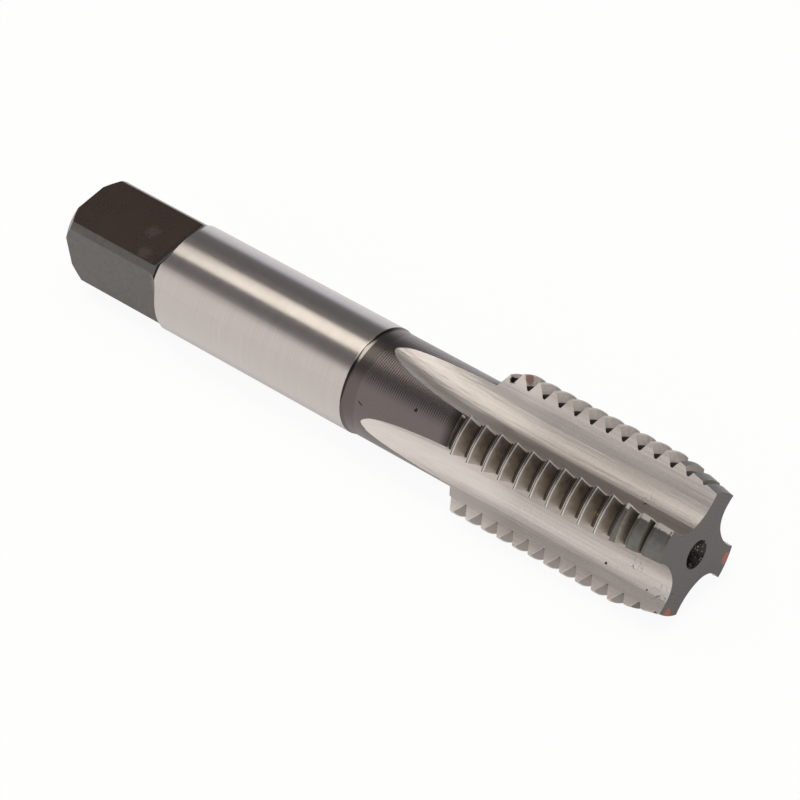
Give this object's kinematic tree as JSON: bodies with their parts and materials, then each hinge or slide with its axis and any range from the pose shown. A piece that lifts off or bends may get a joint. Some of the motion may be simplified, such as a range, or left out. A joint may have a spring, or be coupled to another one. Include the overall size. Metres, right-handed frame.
{
  "type": "thread tap",
  "caption": "Straight-fluted hand tap that cuts a left-hand metric 16 x 2 internal thread, with a tapered lead, a ground round shank and a driving square.",
  "frame": {"origin": "centre of the end face of the cutting end, at the mouth of its centre hole", "axes": "+X along the tap's axis, from the driving square towards the cutting end; the tap lies on two of its lands, with one flute facing straight up and one straight down along Z; left and right in names are as seen from the cutting end"},
  "size_m": [0.081, 0.0142, 0.0141],
  "materials": {
    "tool_steel": "ground satin on shank and flutes, dark oxide on neck, thread and driving square"
  },
  "bodies": {
    "root": {"thread_tap": "tool_steel"}
  },
  "joints": []
}
